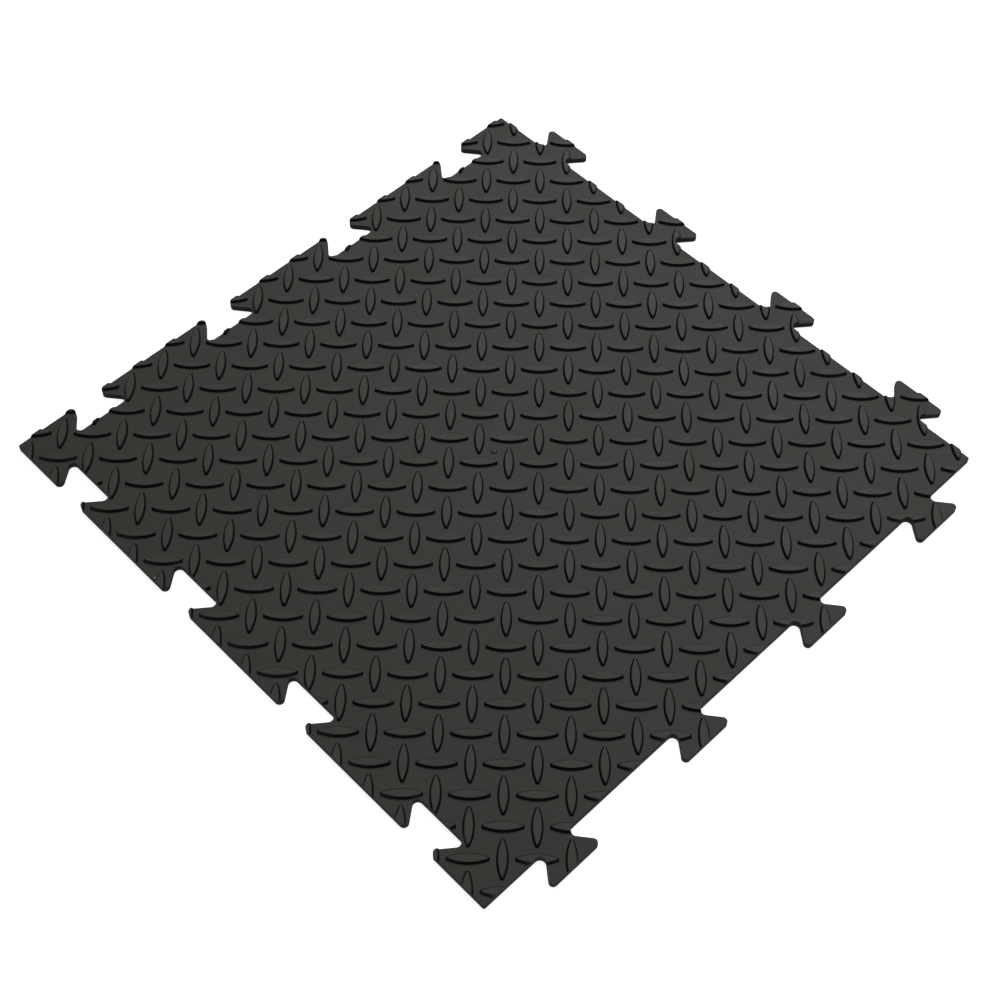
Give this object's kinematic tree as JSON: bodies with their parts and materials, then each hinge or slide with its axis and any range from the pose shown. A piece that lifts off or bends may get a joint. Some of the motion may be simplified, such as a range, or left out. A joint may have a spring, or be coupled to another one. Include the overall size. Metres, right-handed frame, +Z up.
{
  "type": "interlocking floor tile",
  "caption": "Square moulded PVC floor tile with a raised lozenge tread, dovetail tabs on two sides and matching sockets on the other two, so that tiles lock edge to edge.",
  "frame": {"origin": "centre of the square body, on the flat underside", "axes": "+Z up out of the tread; +X and -Y towards the two sides with tabs, -X and +Y towards the sockets"},
  "size_m": [0.5206, 0.5206, 0.007],
  "materials": {
    "pvc": "moulded charcoal PVC, satin"
  },
  "bodies": {
    "root": {"floor_tile": "pvc"}
  },
  "joints": []
}
